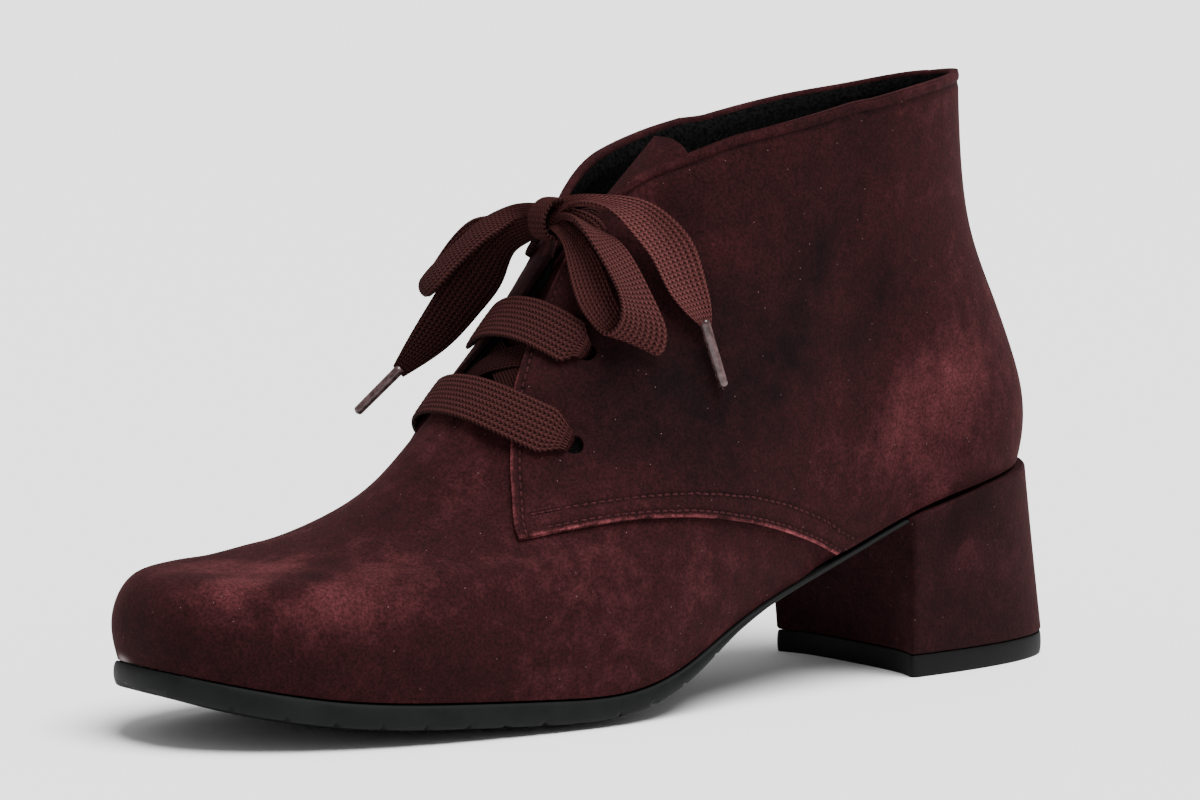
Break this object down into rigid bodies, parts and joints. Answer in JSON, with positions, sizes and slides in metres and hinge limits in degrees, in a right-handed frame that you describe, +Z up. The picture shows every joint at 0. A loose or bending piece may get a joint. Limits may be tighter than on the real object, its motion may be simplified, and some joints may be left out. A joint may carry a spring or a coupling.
{
  "type": "ankle boot",
  "caption": "Left lace-up ankle boot in dark burgundy suede with open-laced quarters, a thin rubber sole and a covered block heel.",
  "frame": {"origin": "on the floor, below the middle of the boot's bounding box without the bow", "axes": "+Z up, -Y towards the toe, +X towards the outer side"},
  "size_m": [0.0827, 0.2538, 0.1446],
  "materials": {
    "suede_upper": "napped suede",
    "suede_quarter": "napped suede",
    "suede_heel": "napped suede",
    "textile_lining": "matte",
    "rubber_sole": "matte",
    "rubber_top_piece": "matte",
    "woven_lace": "woven",
    "clear_plastic": "clear"
  },
  "bodies": {
    "root": {"upper": "suede_upper", "quarter_lateral": "suede_quarter", "quarter_medial": "suede_quarter", "tongue": "suede_upper", "insole": "textile_lining", "outsole": "rubber_sole", "heel": "suede_heel", "heel_top_piece": "rubber_top_piece", "lace_bars": "woven_lace", "lace_knot": "woven_lace", "lace_loop_lateral": "woven_lace", "lace_loop_medial": "woven_lace", "lace_end_lateral": "woven_lace", "lace_end_medial": "woven_lace", "lace_tip_lateral": "clear_plastic", "lace_tip_medial": "clear_plastic"}
  },
  "joints": []
}
